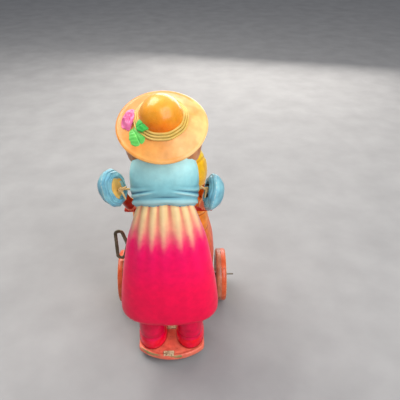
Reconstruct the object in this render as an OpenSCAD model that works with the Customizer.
// Wind-up tin and celluloid toy: a girl in a wide straw hat pushes a two-wheeled tin cart,
// and a big yellow chick hops up and down in the cart as the clockwork runs.
// Frame: +X is the toy's right, +Y the way it travels, +Z up. Z = 0 is the floor, and the
// origin is under the middle of the figure. All sizes are in millimetres.

/* [Wheels and axle] */
// Radius of the two tin drive wheels
wheel_r = 17.6; // [17:0.1:18]
// Distance from the toy's middle plane to a wheel's inner face
wheel_in_x = 28.8; // [28.6:0.1:29.4]
// Thickness of a wheel over both discs
wheel_t = 6.7; // [6:0.1:7.2]
// Distance of the drive axle ahead of the figure
axle_y = 48.1; // [47.8:0.1:48.4]
// Radius of the steel axle
axle_r = 0.8; // [0.7:0.05:0.9]
// Left end of the axle
axle_left_x = -36.9; // [-38:0.1:-36]
// Right end of the axle
axle_right_x = 41; // [37:0.1:42]
// Radius of the small wheel under the figure
caster_r = 3.2; // [3:0.1:3.3]

/* [Base plate] */
// Height of the plate's top face, on which the shoes stand
plate_z = 8; // [7.6:0.1:8.4]
// Half width of the plate
plate_half_w = 19.7; // [19:0.1:20.5]
// Thickness of the tin sheet
tin = 0.6; // [0.5:0.05:0.7]
// Depth of the plate's turned-down flange
flange_h = 3.2; // [2.6:0.1:3.4]

/* [Figure] */
// Height of the skirt's hem
hem_z = 34; // [33:0.5:35]
// Height of the waist
waist_z = 105.6; // [104:0.2:107]
// Height of the open neck of the body moulding
neck_z = 137; // [136.5:0.5:137]
// Half width of the skirt
skirt_half_w = 27.5; // [26.5:0.5:27.5]
// Half depth of the skirt
skirt_half_d = 15; // [14:0.5:15.5]
// Half width of the blouse
blouse_half_w = 16.5; // [16:0.1:16.6]
// Half width of the head across the cheeks
head_half_w = 18.2; // [17.5:0.1:18.4]
// Wall of the celluloid mouldings
wall_t = 1.0; // [0.8:0.1:1.2]

/* [Hat] */
// Radius of the brim
brim_r = 20.8; // [20:0.1:21]
// Radius of the crown where it meets the brim
crown_r = 11.9; // [11:0.1:12.2]
// Height of the brim's cone from rim to crown
brim_droop = 5; // [4.5:0.1:5.5]
// Height of the crown above the brim
crown_h = 11; // [10:0.2:11.4]
// Backward tilt of the hat
hat_tilt = 26.9; // [26:0.1:28]

/* [Arms] */
// Height of the shoulder elastic
shoulder_z = 115.5; // [115:0.1:116]
// Middle of the left puff sleeve
left_sleeve_x = -25.2; // [-26:0.1:-25]
// Middle of the right puff sleeve
right_sleeve_x = 23.4; // [23.2:0.1:24.5]

/* [Cart] */
// Height of the tub's rim
rim_z = 82; // [81:0.5:83]
// Half width of the tub at its widest
tub_half_w = 27.1; // [26.5:0.1:27.2]
// Half length of the tub
tub_half_l = 20.8; // [20.4:0.1:21]
// Height of the push bar
grip_z = 88; // [87.5:0.1:88.3]

/* [Chick] */
// Half width of the chick's body
chick_half_w = 22.7; // [21:0.1:22.8]
// Height of the middle of the chick's body
chick_z = 99; // [98.5:0.5:100]
// Radius of the chick's head
chick_head_r = 11.5; // [10.5:0.1:11.6]

/* [Clockwork] */
// Module of the gears
gear_m = 0.7; // [0.7]
// Teeth of the great gear on the winding arbor
great_teeth = 34; // [34]
// Teeth of the pinion on the second arbor
second_pinion_teeth = 10; // [10]
// Teeth of the gear on the second arbor
second_teeth = 38; // [38]
// Teeth of the pinion on the drive axle
axle_teeth = 14; // [14]
// Teeth of the pinion on the star wheel's arbor
star_pinion_teeth = 8; // [8]
// Height of the loop of the winding key
key_h = 23.5; // [22:0.1:23.6]

/* [Hidden] */
$fn = 48;
far = 400;           // more than the whole toy, for cuts
run_gap = 0.05;      // radial clearance of a shaft in its hole

// Colours
ORANGE = [0.86, 0.36, 0.13];
SALMON = [0.86, 0.46, 0.36];
MAGENTA = [0.87, 0.05, 0.32];
BLUE = [0.33, 0.55, 0.66];
FLESH = [0.89, 0.60, 0.42];
STRAW = [0.90, 0.58, 0.30];
YELLOW = [0.93, 0.80, 0.20];
RED = [0.80, 0.08, 0.12];
BRASS = [0.72, 0.60, 0.32];
STEEL = [0.62, 0.62, 0.64];
CREAM = [0.88, 0.85, 0.66];

// Arbor centres as [Y, Z]
axle_c = [axle_y, wheel_r];
key_c = [43.5, 48];
key_to_second = gear_m * (great_teeth + second_pinion_teeth) / 2;
axle_to_second = gear_m * (second_teeth + axle_teeth) / 2;
key_to_axle = norm(axle_c - key_c);
toward_axle = (axle_c - key_c) / key_to_axle;
along_train = (pow(key_to_second, 2) - pow(axle_to_second, 2) + pow(key_to_axle, 2)) / (2 * key_to_axle);
off_train = sqrt(pow(key_to_second, 2) - pow(along_train, 2));
second_c = key_c + along_train * toward_axle + off_train * [-toward_axle[1], toward_axle[0]];
star_angle = 65;
star_c = second_c + gear_m * (second_teeth + star_pinion_teeth) / 2 * [cos(star_angle), sin(star_angle)];
verge_c = star_c + [0, 7.65];

// Where things sit across the motor
motor_x = 13;        // middle of each motor plate
plate_t = 0.8;       // thickness of a motor plate
arbor_end = 13.8;    // how far an arbor reaches through the plates
great_x = -11.6;
ratchet_x = -9.8;
spring_x = [-7.5, 1.5];
cam_x = 2.8;
second_x = 8;
star_x = 10.3;
arbor_r = 1.2;
thin_arbor_r = 0.8;
pillar_r = 1.2;
pillars = [[35.5, 61], [64.2, 60.8], [37, 16], [60, 16.5]];

cart_y = 49.6;       // middle of the tub
tub_bottom_z = 12;
hat_c = [0, -0.25, 150];
chick_y = 50;
shoulder_y = 1.5;
left_flat_x = 19.6;   // flat inner faces of the sleeves
right_flat_x = 18.4;
elastic_in = 3;      // how far the elastic reaches into a sleeve
lifter_c = [cam_x + 1.2, second_c[0]];   // X and Y of the lifter's rod
cam_r = 5.6;
leg_x = 11.2;

// ---------- functions ----------

function at_end(list, i) = list[max(0, min(len(list) - 1, i))];

// A smooth curve through a list of stations, with t counting stations
function curve_at(list, t) =
  let (i = floor(t), f = t - i)
  let (a = at_end(list, i - 1), b = at_end(list, i), c = at_end(list, i + 1), d = at_end(list, i + 2))
  b + 0.5 * f * (c - a) + f * f * (a - 2.5 * b + 2 * c - 0.5 * d)
    + f * f * f * (1.5 * (b - c) + 0.5 * (d - a));

function smooth(list, steps) = [for (k = [0 : steps * (len(list) - 1)]) curve_at(list, k / steps)];

function signed_pow(v, p) = sign(v) * pow(abs(v), p);

// One point of a section [z, half width, half depth]: square 2 is an ellipse, more is squarer
function section_point(s, a, square, inset) =
  [(s[1] - inset) * signed_pow(cos(a), 2 / square),
   (s[2] - inset) * signed_pow(sin(a), 2 / square), s[0]];

// Rows of points round part of a body, from angle from_a to to_a
function patch(stations, from_a, to_a, count, square, inset) =
  [for (s = stations) [for (k = [0 : count]) section_point(s, from_a + (to_a - from_a) * k / count, square, inset)]];

function quad(a, b, c, d) = [[a, b, c], [a, c, d]];

// The outline of a gear with short, thin teeth, which run freely in mesh
function gear_outline(teeth, phase) =
  let (r = gear_m * teeth / 2, step = 360 / teeth)
  let (tooth = [[r - gear_m, -0.27], [r, -0.17], [r + 0.75 * gear_m, -0.09],
                [r + 0.75 * gear_m, 0.09], [r, 0.17], [r - gear_m, 0.27]])
  [for (k = [0 : teeth - 1]) for (q = tooth) q[0] * [cos(phase + step * (k + q[1])), sin(phase + step * (k + q[1]))]];

function saw_outline(teeth, r_in, r_out) =
  [for (k = [0 : teeth - 1]) for (q = [[r_in, 0], [r_out, 0.92]])
    q[0] * [cos(360 / teeth * (k + q[1])), sin(360 / teeth * (k + q[1]))]];

function star_outline(teeth, r_in, r_out) =
  [for (k = [0 : teeth - 1]) for (q = [[r_in, -0.3], [r_out, -0.06], [r_out, 0.06], [r_in, 0.3]])
    q[0] * [cos(360 / teeth * (k + q[1])), sin(360 / teeth * (k + q[1]))]];

function bearing(from_c, to_c) = atan2(to_c[1] - from_c[1], to_c[0] - from_c[0]);

// ---------- shared modules ----------

// Children drawn in XY and raised along Z lie in the YZ plane at x and reach along +X
module along_x(x, c) translate([x, c[0], c[1]]) rotate([90, 0, 90]) children();

module rod_x(x0, x1, c, r) along_x(x0, c) cylinder(r = r, h = x1 - x0);

// A closed wall between an outer and an inner grid of points, both seen row by row
module shell_patch(outer, inner) {
  rows = len(outer);
  cols = len(outer[0]);
  size = rows * cols;
  points = concat([for (row = outer) each row], [for (row = inner) each row]);
  faces = concat(
    [for (r = [0 : rows - 2]) for (c = [0 : cols - 2]) let (i = r * cols + c)
      each quad(i, i + cols, i + cols + 1, i + 1)],
    [for (r = [0 : rows - 2]) for (c = [0 : cols - 2]) let (i = size + r * cols + c)
      each quad(i, i + 1, i + cols + 1, i + cols)],
    [for (c = [0 : cols - 2]) each quad(c, c + 1, size + c + 1, size + c)],
    [for (c = [0 : cols - 2]) let (i = (rows - 1) * cols + c)
      each quad(i + 1, i, size + i, size + i + 1)],
    [for (r = [0 : rows - 2]) let (i = r * cols)
      each quad(i + cols, i, size + i, size + i + cols)],
    [for (r = [0 : rows - 2]) let (i = r * cols + cols - 1)
      each quad(i, i + cols, size + i + cols, size + i)]);
  polyhedron(points, faces);
}

module gear(x, c, teeth, phase, thick, bore) {
  along_x(x, c) difference() {
    linear_extrude(thick) polygon(gear_outline(teeth, phase));
    translate([0, 0, -1]) cylinder(r = bore, h = thick + 2);
  }
}

module ellipsoid(c, half) translate(c) scale(half) sphere(r = 1);

// ---------- base plate and caster ----------

// The plate's outline: straight sides, and ends that are arcs of one large radius
module plate_outline(inset) {
  end_r = 28 - inset;
  intersection() {
    translate([-plate_half_w + inset, -30]) square([2 * (plate_half_w - inset), 80]);
    translate([0, 15.6]) circle(r = end_r, $fn = 96);
    translate([0, -4]) circle(r = end_r, $fn = 96);
  }
}

slot_x = -1.5;       // middle of the bracket's slot in the plate
slot_w = 6.6;
slot_y = [-10, -8.6];
strip_w = 5.6;       // cream strip, between the shoes

module base_plate() {
  color(SALMON) difference() {
    translate([0, 0, plate_z - flange_h]) linear_extrude(flange_h) plate_outline(0);
    translate([0, 0, plate_z - flange_h - 1]) linear_extrude(flange_h - tin + 1) plate_outline(tin);
    translate([slot_x - slot_w / 2, slot_y[0], plate_z - 2]) cube([slot_w, slot_y[1] - slot_y[0], 3]);
  }
}

// A cream strip from the plate to the motor, turned up at its front end
module chassis_strip() {
  color(CREAM) union() {
    translate([-strip_w / 2, 8.5, plate_z]) cube([strip_w, 26.5, 0.8]);
    translate([-strip_w / 2, 34.2, plate_z + 0.8]) cube([strip_w, 0.8, 6.2]);
  }
}

caster_y = -4;
module caster_bracket() {
  color(CREAM) difference() {
    union() {
      translate([-4, slot_y[1] - 0.7, plate_z - tin - 0.5]) cube([8, 8.5, 0.5]);
      for (side = [-1, 1]) translate([side * 3.2 - 0.3, caster_y - 2, 1.9]) cube([0.6, 4, plate_z - tin - 1.9]);
      translate([slot_x - 3, slot_y[1] - 0.7, plate_z - tin - 0.5]) cube([6, 0.5, tin + 1.1]);
      translate([slot_x - 3, -12.2, plate_z + 0.1]) cube([6, 12.2 + slot_y[1] - 0.2, 0.5]);
    }
    rod_x(-6, 6, [caster_y, caster_r], 0.6);
  }
}

module caster_pin() {
  color(STEEL) rod_x(-4, 4, [caster_y, caster_r], 0.6);
}

module caster_wheel() {
  color(STEEL) difference() {
    rod_x(-2.3, 2.3, [caster_y, caster_r], caster_r);
    rod_x(-3, 3, [caster_y, caster_r], 0.6 + run_gap);
  }
}

// ---------- figure ----------

// [z, half width, half depth] of the moulded body, from hem to neck
body_stations = [
  [hem_z, skirt_half_w - 3.5, skirt_half_d - 3.2],
  [hem_z + 2, skirt_half_w - 1, skirt_half_d - 0.9],
  [hem_z + 7, skirt_half_w, skirt_half_d],
  [hem_z + 21, skirt_half_w - 1.3, skirt_half_d - 0.6],
  [hem_z + 37, skirt_half_w - 3.9, skirt_half_d - 2],
  [85, 20.9, 11.7],
  [94.5, 18, 10.3],
  [waist_z, 14.5, 8.8],
  [waist_z + 2.2, 15.3, 9.8],
  [waist_z + 9, blouse_half_w, 11.4],
  [waist_z + 18, blouse_half_w, 11.4],
  [neck_z - 8, 15.8, 10.8],
  [neck_z - 4, 14.2, 9.4],
  [neck_z, 11, 7]];
BODY_SQUARE = 2.3;

// The waist stands higher at the back than at the front
function lean(p) = let (g = (p[2] - waist_z) / 14)
  [p[0], p[1], p[2] - (p[1] < 0 ? 0.75 : 0.3) * p[1] * exp(-g * g)];
function leaned(rows) = [for (row = rows) [for (p = row) lean(p)]];

module body_half(from_a, to_a) {
  stations = smooth(body_stations, 2);
  shell_patch(leaned(patch(stations, from_a, to_a, 24, BODY_SQUARE, 0)),
              leaned(patch(stations, from_a, to_a, 24, BODY_SQUARE, wall_t)));
}

module figure_rear_shell() {
  color(MAGENTA) body_half(180, 360);
}

module figure_front_shell() {
  color(BLUE) difference() {
    body_half(0, 180);
    rod_x(-far / 2, far / 2, [shoulder_y, shoulder_z], 1.2);
  }
}

module skirt_floor() {
  floor_z = hem_z + 5;
  s = curve_at(body_stations, 1.6);
  outline = [for (k = [0 : 63]) let (p = section_point([0, s[1], s[2]], k * 360 / 64, BODY_SQUARE, wall_t + 0.3)) [p[0], p[1]]];
  color(MAGENTA) translate([0, 0, floor_z]) linear_extrude(1) polygon(outline);
}

module leg(side) {
  color(MAGENTA) translate([side * leg_x, 0, 18]) cylinder(r1 = 7.4, r2 = 7, h = hem_z - 13);
}

module left_leg() leg(-1);
module right_leg() leg(1);

module shoe(side) {
  color(RED) intersection() {
    ellipsoid([side * leg_x, 4.6, plate_z + 3], [8.6, 13.4, 11]);
    translate([side * leg_x - 10, -20, plate_z]) cube([20, 50, 10]);
  }
}

module left_shoe() shoe(-1);
module right_shoe() shoe(1);

// A round head with room beneath it for the neck and shoulders
head_mid = [0, 6, 140];
head_half = [head_half_w, 13.5, 15];
neck_clear = 17.2;

module head() {
  color(FLESH) difference() {
    union() {
      ellipsoid(head_mid, head_half);
      in_hat() translate([0, 0, -6]) cylinder(r = 8, h = brim_droop + 8);
    }
    ellipsoid(head_mid, head_half - [1, 1, 1] * wall_t);
    scale([1, 0.74, 1]) union() {
      translate([0, 0, neck_z - 40]) cylinder(r = neck_clear, h = 32.1);
      translate([0, 0, neck_z - 8]) cylinder(r1 = neck_clear, r2 = neck_clear - 5.2, h = 8.3);
    }
  }
}

// The hat's own frame: its rim lies in XY with its middle at the origin
module in_hat() translate(hat_c) rotate([hat_tilt, 0, 0]) children();

function crown_point(a, inset) = [(crown_r - 1.6 - inset) * cos(a), brim_droop + (crown_h - inset) * sin(a)];

module hat() {
  outline = concat(
    [[brim_r, 0], [crown_r, brim_droop], [crown_r - 1.6, brim_droop]],
    [for (a = [6 : 6 : 84]) crown_point(a, 0)],
    [[0, brim_droop + crown_h], [0, brim_droop + crown_h - 1]],
    [for (a = [84 : -6 : 6]) crown_point(a, 1)],
    [[crown_r - 2.2, brim_droop - 0.9], [brim_r - 0.3, -0.9]]);
  color(STRAW) in_hat() rotate_extrude($fn = 96) polygon(outline);
}

module hat_band() {
  color(CREAM) in_hat() rotate_extrude($fn = 96)
    polygon([[crown_r - 1.55, brim_droop + 0.05], [crown_r - 0.1, brim_droop + 0.05],
             [crown_r + 0.3, brim_droop + 1], [crown_r - 0.5, brim_droop + 2.4],
             [crown_r - 1.55, brim_droop + 2.5]]);
}

// Height of the brim's top face at radius r, in the hat's own frame
function brim_top(r) = brim_droop * (brim_r - r) / (brim_r - crown_r);
flower_c = [-14.4, 0.7];

module rose() {
  lift = brim_top(norm(flower_c));
  color([0.88, 0.36, 0.58]) in_hat() difference() {
    translate([flower_c[0], flower_c[1], lift - 1]) scale([1, 1.9, 1]) union() {
      translate([0, 0, 0.9]) cylinder(r1 = 3.2, r2 = 2.4, h = 1.6);
      translate([0, 0, 2]) sphere(r = 1.7);
    }
    hat_envelope();
  }
}

// The solid under the hat's outer surface
module hat_envelope() {
  rotate_extrude($fn = 96) polygon(concat([[0, -8], [brim_r, -8], [brim_r, 0.05], [crown_r + 0.35, brim_droop + 0.1],
    [crown_r + 0.35, brim_droop + 2.5]], [for (a = [18 : 6 : 84]) crown_point(a, -0.05)], [[0, brim_droop + crown_h + 0.05]]));
}

module leaf(c, turn) {
  translate([c[0], c[1], brim_top(norm(c)) - 0.6]) rotate([0, 0, turn])
    linear_extrude(2) intersection() {
      translate([0, -3.2]) circle(r = 5.6);
      translate([0, 3.2]) circle(r = 5.6);
    }
}

module hat_leaves() {
  color([0.25, 0.66, 0.28]) in_hat() difference() {
    union() {
      leaf([-11.6, -8.6], 65);
      leaf([-8.8, -11.2], 15);
    }
    hat_envelope();
  }
}

module shoulder_elastic() {
  color(CREAM) rod_x(-left_flat_x - elastic_in, right_flat_x + elastic_in, [shoulder_y, shoulder_z], 0.6);
}

// The right arm: a puff sleeve with a flat inner face, strung on the elastic, a forearm and a fist
module arm(sleeve, half, flat_x, hand_x) {
  hand = [hand_x, 21.5, 92.6];
  elbow = sleeve + [0, 4, -5];
  reach = hand - elbow;
  difference() {
    union() {
      intersection() {
        translate(sleeve) scale(half) rotate([0, -90, 0]) sphere(r = 1);
        translate([flat_x, -50, 50]) cube(100);
      }
      translate(elbow) rotate([0, acos(reach[2] / norm(reach)), atan2(reach[1], reach[0])])
        cylinder(r1 = 3.9, r2 = 2.7, h = norm(reach));
      translate(hand) sphere(r = 3.2);
    }
    rod_x(0, flat_x + elastic_in + 0.4, [shoulder_y, shoulder_z], 0.9);
  }
}

module left_arm() {
  color(BLUE) mirror([1, 0, 0])
    arm([-left_sleeve_x, shoulder_y, shoulder_z + 1], [6.8, 9.2, 10.2], left_flat_x, 20.4);
}

module right_arm() {
  color(BLUE) arm([right_sleeve_x, shoulder_y, shoulder_z - 1], [6.2, 9, 9.8], right_flat_x, 20.2);
}

// ---------- cart ----------

// [z, half width, half length] of the tub
tub_stations = [
  [tub_bottom_z, tub_half_w - 8.6, tub_half_l - 3.8],
  [15, tub_half_w - 6.3, tub_half_l - 2.2],
  [20, tub_half_w - 3.7, tub_half_l - 1],
  [30, tub_half_w - 0.9, tub_half_l - 0.2],
  [40, tub_half_w, tub_half_l],
  [48, tub_half_w - 0.3, tub_half_l],
  [56, tub_half_w - 2.1, tub_half_l - 0.2],
  [62, tub_half_w - 3.5, tub_half_l - 0.4],
  [68, tub_half_w - 4.3, tub_half_l - 0.5],
  [76, tub_half_w - 4.5, tub_half_l - 0.5],
  [rim_z, tub_half_w - 4.5, tub_half_l - 0.5]];
TUB_SQUARE = 4;

module tub_half(from_a, to_a) {
  difference() {
    translate([0, cart_y, 0])
      shell_patch(patch(tub_stations, from_a, to_a, 28, TUB_SQUARE, 0),
                  patch(tub_stations, from_a, to_a, 28, TUB_SQUARE, tin));
    rod_x(-far / 2, far / 2, axle_c, 2.6);
  }
}

module tub_left_shell() {
  color(ORANGE) difference() {
    tub_half(90, 270);
    rod_x(-far / 2, 0, key_c, 2.4);
  }
}

module tub_right_shell() {
  color(ORANGE) tub_half(-90, 90);
}

// A level outline at the tub's rim, inset from its outer face
function tub_outline(inset) =
  let (s = tub_stations[len(tub_stations) - 1])
  [for (k = [0 : 79]) let (p = section_point(s, k * 4.5, TUB_SQUARE, inset)) [p[0], p[1] + cart_y]];

// The rolled bead on top of the tub's wall
module tub_rim() {
  color(CREAM) translate([0, 0, rim_z]) linear_extrude(1) difference() {
    polygon(tub_outline(-0.4));
    polygon(tub_outline(tin + 0.3));
  }
}

module cart_deck() {
  color(ORANGE) translate([0, 0, 69]) linear_extrude(tin) difference() {
    polygon(tub_outline(tin + 0.2));
    translate([lifter_c[0] - 1.7, lifter_c[1] - 1.7]) square(3.4);
  }
}

// Bent straps that hold the push bar behind the tub
module handle_brackets() {
  color(RED) for (side = [-1, 1]) difference() {
    translate([side * 14 - 2, 0, 0]) rotate([90, 0, 90])
      linear_extrude(4) polygon([[28.9, 72], [29.3, 72], [29.3, 80.6], [24.9, grip_z + 1.6], [23, grip_z + 1.6],
                                 [23, grip_z - 1.6], [28.5, 79.8]]);
    rod_x(-far / 2, far / 2, [24, grip_z], 1.3);
  }
}

module handle_grip() {
  color(RED) rod_x(-24.5, 24.5, [24, grip_z], 1.3);
}

// ---------- chick ----------

module chick_solid(inset) {
  union() {
    ellipsoid([0, chick_y, chick_z], [chick_half_w - inset, 20.5 - inset, 23 - inset]);
    translate([0, chick_y + 9, chick_z + 26]) sphere(r = chick_head_r - inset);
    translate([0, chick_y - 17.5, chick_z + 9]) rotate([50, 0, 0]) cylinder(r1 = 6 - inset, r2 = 2.2 - inset / 2, h = 8 - inset);
  }
}

module chick_half(side) {
  color(YELLOW) intersection() {
    difference() {
      chick_solid(0);
      chick_solid(wall_t);
    }
    translate([side < 0 ? -far : 0, -far / 2, 0]) cube(far);
  }
}

module chick_left_half() chick_half(-1);
module chick_right_half() chick_half(1);

head_c = [chick_y + 9, chick_z + 26];

module chick_beak() {
  color(ORANGE) difference() {
    translate([0, head_c[0] + chick_head_r - 1.5, head_c[1] - 1]) rotate([-98, 0, 0]) cylinder(r1 = 3.6, r2 = 0.7, h = 7);
    translate([0, head_c[0], head_c[1]]) sphere(r = chick_head_r + 0.02);
  }
}

module chick_comb() {
  lobes = [[-4, 10.4], [0, 11.9], [4, 10.9]];
  color(RED) difference() {
    translate([-0.8, head_c[0], head_c[1]]) rotate([90, 0, 90]) linear_extrude(1.6) union() {
      for (q = lobes) translate(q) circle(r = 2.3);
    }
    translate([0, head_c[0], head_c[1]]) sphere(r = chick_head_r + 0.02);
  }
}

module chick_eyes() {
  color([0.05, 0.05, 0.05]) for (side = [-1, 1])
    translate([side * 7.4, head_c[0] + 7.2, head_c[1] + 3.4]) sphere(r = 1.7);
}

module lifter_plate() {
  color(STEEL) translate([-7, chick_y - 6, chick_z - 23.7]) cube([14, 12, 0.7]);
}

// A square rod that the cam lifts through its guide
module lifter_rod() {
  foot_z = second_c[1] + cam_r + 0.3;
  color(STEEL) union() {
    translate([lifter_c[0] - 1.2, lifter_c[1] - 1.2, foot_z]) cube([2.4, 2.4, chick_z - 23.7 - foot_z]);
    translate([lifter_c[0] - 1.2, lifter_c[1] - 3, foot_z]) cube([2.4, 6, 0.8]);
  }
}

// ---------- motor ----------

module motor_plate(side) {
  x = side * motor_x - plate_t / 2;
  difference() {
    along_x(x, [0, 0]) linear_extrude(plate_t)
      polygon([[34, 13], [62, 13], [66.5, 20], [66.5, 63], [33.4, 63], [33.4, 20]]);
    rod_x(x - 1, x + 2, key_c, arbor_r + run_gap);
    for (c = [second_c, star_c]) rod_x(x - 1, x + 2, c, thin_arbor_r + run_gap);
    rod_x(x - 1, x + 2, verge_c, 0.6 + run_gap);
    rod_x(x - 1, x + 2, axle_c, axle_r + run_gap);
  }
}

module motor_left_plate() {
  color(BRASS) motor_plate(-1);
}

module motor_right_plate() {
  color(BRASS) motor_plate(1);
}

module motor_pillars() {
  reach = motor_x - plate_t / 2;
  color(STEEL) for (c = pillars) rod_x(-reach, reach, c, pillar_r);
}

// A strap across the tub that carries the motor and guides the lifter
module motor_bridge() {
  half = tub_half_w - 4.9 - tin;
  color(STEEL) difference() {
    translate([-half, lifter_c[1] - 6, 63.2]) cube([2 * half, 12, plate_t]);
    translate([lifter_c[0] - 1.25, lifter_c[1] - 1.25, 62]) cube([2.5, 2.5, 4]);
  }
}

function spiral_point(a, r0, pitch, thick) = (r0 + pitch * a / 360 + thick) * [cos(a), sin(a)];

module mainspring() {
  turns = 6;
  pitch = 1.35;
  r0 = 1.9;
  strip = 0.45;
  end_a = bearing(key_c, pillars[0]);
  full_a = 360 * turns + end_a;
  steps = 190;
  end_r = r0 + pitch * full_a / 360;
  pillar_at = norm(pillars[0] - key_c) - pillar_r - 0.05;
  outline = concat([for (k = [0 : steps]) spiral_point(full_a * k / steps, r0, pitch, 0)],
                   [for (q = [[pillar_at, 0], [pillar_at, -0.6], [end_r + strip, -0.6]])
                     [q[0] * cos(end_a) - q[1] * sin(end_a), q[0] * sin(end_a) + q[1] * cos(end_a)]],
                   [for (k = [steps - 1 : -1 : 0]) spiral_point(full_a * k / steps, r0, pitch, strip)]);
  color(STEEL) along_x(spring_x[0], key_c) linear_extrude(spring_x[1] - spring_x[0]) polygon(outline);
}

// A stamped loop, wide at its outer side, on a tube that fits the winding arbor
module key() {
  outer_x = -36.2;
  band = 2.3;
  color(BRASS) difference() {
    union() {
      translate([0, key_c[0] + 0.5, key_c[1]]) rotate([90, 0, 0]) linear_extrude(1) difference() {
        loop_outline(outer_x + 3.5, key_h / 2 - 3.5, 3.5, -28.8, 1.9);
        loop_outline(outer_x + 3.5, key_h / 2 - 3.5, 3.5 - band, -29.4, 1);
      }
      rod_x(-28.3, -16, key_c, 1.9);
    }
    rod_x(-27, -15, key_c, arbor_r);
  }
}

// Two corner circles and the circle at the tip, joined by straight sides
module loop_outline(x, half_h, r, tip_x, tip_r) {
  hull() {
    for (side = [-1, 1]) translate([x, side * half_h]) circle(r = r);
    translate([tip_x, 0]) circle(r = tip_r);
  }
}

module winding_arbor() {
  color(STEEL) rod_x(-27, arbor_end, key_c, arbor_r);
}

module ratchet_wheel() {
  color(BRASS) along_x(ratchet_x, key_c) difference() {
    linear_extrude(1) polygon(saw_outline(12, 4, 5));
    translate([0, 0, -1]) cylinder(r = arbor_r, h = 3);
  }
}

module great_gear() {
  color(BRASS) gear(great_x, key_c, great_teeth, bearing(key_c, second_c), 1, arbor_r + run_gap);
}

click_pivot = key_c + [0, 8];

// A pawl that drops behind a ratchet tooth
module click() {
  color(STEEL) difference() {
    union() {
      along_x(ratchet_x, key_c) linear_extrude(1)
        polygon([[-1, 8.8], [1, 9], [1.2, 7.2], [4.6, 4.3], [3.9, 3.7], [-0.8, 6.9]]);
    }
    rod_x(ratchet_x - 1, ratchet_x + 2, click_pivot, 0.4 + run_gap);
  }
}

// The click's pin and the thin spring that presses on it, both fixed to the great gear
module click_spring() {
  color(STEEL) union() {
    rod_x(great_x + 1, ratchet_x + 1.4, click_pivot, 0.4);
    along_x(great_x + 1, key_c) linear_extrude(1.2) polygon([[3, 9.8], [8.6, 6.4], [8.9, 6.8], [3.2, 10.2]]);
  }
}

module second_arbor() {
  color(STEEL) rod_x(-arbor_end, arbor_end, second_c, thin_arbor_r);
}

module second_pinion() {
  color(STEEL) gear(great_x - 0.6, second_c, second_pinion_teeth,
                    bearing(second_c, key_c) + 180 / second_pinion_teeth, 2.2, thin_arbor_r);
}

module second_gear() {
  color(BRASS) gear(second_x, second_c, second_teeth, bearing(second_c, axle_c), 1, thin_arbor_r);
}

module hop_cam() {
  color(STEEL) along_x(cam_x, second_c) difference() {
    union() {
      cylinder(r = 2.2, h = 2.4);
      linear_extrude(2.4) polygon([[-2.2, 0], [0, cam_r * -0.94], [1.6, cam_r * -0.9], [2.2, 0]]);
    }
    translate([0, 0, -1]) cylinder(r = thin_arbor_r, h = 5);
  }
}

// ---------- drive axle and wheels ----------

// The axle, with a turned-down end that stands out beyond the right wheel
module drive_axle() {
  shoulder_x = wheel_in_x + wheel_t + 0.5;
  color(STEEL) union() {
    rod_x(axle_left_x, shoulder_x, axle_c, axle_r);
    rod_x(shoulder_x - 1, axle_right_x, axle_c, axle_r - 0.3);
  }
}

module axle_pinion() {
  color(STEEL) gear(second_x - 0.6, axle_c, axle_teeth, bearing(axle_c, second_c) + 180 / axle_teeth, 2.2, axle_r);
}

// Tubes that hold the wheels off the motor
module axle_spacers() {
  color(STEEL) for (side = [-1, 1]) difference() {
    rod_x(min(side * 13.6, side * wheel_in_x), max(side * 13.6, side * wheel_in_x), axle_c, 1.9);
    rod_x(-far / 2, far / 2, axle_c, axle_r);
  }
}

// Half the profile of one pressed disc: the radius across and the depth up, from the seam
wheel_half_t = wheel_t / 2;
module disc_profile() {
  polygon([[axle_r, wheel_half_t - 1.5], [4.5, wheel_half_t - 1.5], [6, wheel_half_t - 0.9],
           [12.5, wheel_half_t - 0.9], [13.6, wheel_half_t], [wheel_r - 1.3, wheel_half_t],
           [wheel_r - 0.4, wheel_half_t - 0.4], [wheel_r, wheel_half_t - 1.3], [wheel_r, 0],
           [wheel_r - tin, 0], [wheel_r - tin, wheel_half_t - 1.2], [wheel_r - 1.4, wheel_half_t - tin],
           [13.9, wheel_half_t - tin], [12.8, wheel_half_t - 0.9 - tin], [5.8, wheel_half_t - 0.9 - tin],
           [4.3, wheel_half_t - 1.5 - tin], [2.6, wheel_half_t - 1.5 - tin], [2.6, 0], [axle_r, 0]]);
}

module wheel_disc(side, outer) {
  mid_x = side * (wheel_in_x + wheel_half_t);
  color(ORANGE) translate([mid_x, axle_c[0], axle_c[1]]) rotate([0, side * outer * 90, 0])
    rotate_extrude($fn = 96) disc_profile();
}

module left_wheel_inner() wheel_disc(-1, -1);
module left_wheel_outer() wheel_disc(-1, 1);
module right_wheel_inner() wheel_disc(1, -1);
module right_wheel_outer() wheel_disc(1, 1);

// ---------- governor ----------

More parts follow.
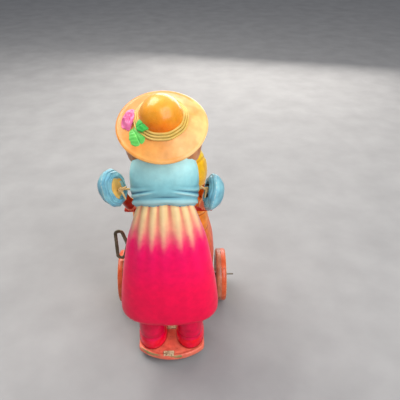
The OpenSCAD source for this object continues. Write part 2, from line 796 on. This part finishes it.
// How far the second gear's nearest tooth is from the line to the star pinion
gear_step = 360 / second_teeth;
tooth_lag = bearing(second_c, axle_c) - star_angle;
lag = tooth_lag - gear_step * floor(tooth_lag / gear_step);
star_phase = star_angle + 180 + 180 / star_pinion_teeth - lag * second_teeth / star_pinion_teeth;

module star_arbor() {
  color(STEEL) rod_x(-arbor_end, arbor_end, star_c, thin_arbor_r);
}

module star_pinion() {
  color(STEEL) gear(second_x - 0.5, star_c, star_pinion_teeth, star_phase, 2, thin_arbor_r);
}

module star_wheel() {
  color(BRASS) along_x(star_x, star_c) difference() {
    linear_extrude(0.8) polygon(star_outline(10, 3.2, 5));
    translate([0, 0, -1]) cylinder(r = thin_arbor_r, h = 3);
  }
}

// A rocking anchor over the star wheel, on its own pin
module verge() {
  color(STEEL) union() {
    along_x(star_x, verge_c) linear_extrude(0.8)
      polygon([[-4.8, -2.6], [-3.9, -2.6], [-3.2, -0.9], [3.2, -0.9], [3.9, -2.6], [4.8, -2.6], [4.2, 0.9], [-4.2, 0.9]]);
    rod_x(-arbor_end, arbor_end, verge_c, 0.6);
  }
}

// ---------- nodes ----------

base_plate();
chassis_strip();
caster_bracket();
caster_pin();
caster_wheel();
figure_rear_shell();
figure_front_shell();
skirt_floor();
head();
hat();
hat_band();
rose();
hat_leaves();
left_leg();
right_leg();
left_shoe();
right_shoe();
shoulder_elastic();
left_arm();
right_arm();
tub_left_shell();
tub_right_shell();
tub_rim();
cart_deck();
handle_brackets();
handle_grip();
motor_left_plate();
motor_right_plate();
motor_pillars();
motor_bridge();
mainspring();
key();
winding_arbor();
ratchet_wheel();
great_gear();
click();
click_spring();
second_arbor();
second_pinion();
second_gear();
hop_cam();
drive_axle();
axle_pinion();
axle_spacers();
left_wheel_inner();
left_wheel_outer();
right_wheel_inner();
right_wheel_outer();
star_arbor();
star_pinion();
star_wheel();
verge();
lifter_rod();
lifter_plate();
chick_left_half();
chick_right_half();
chick_beak();
chick_comb();
chick_eyes();
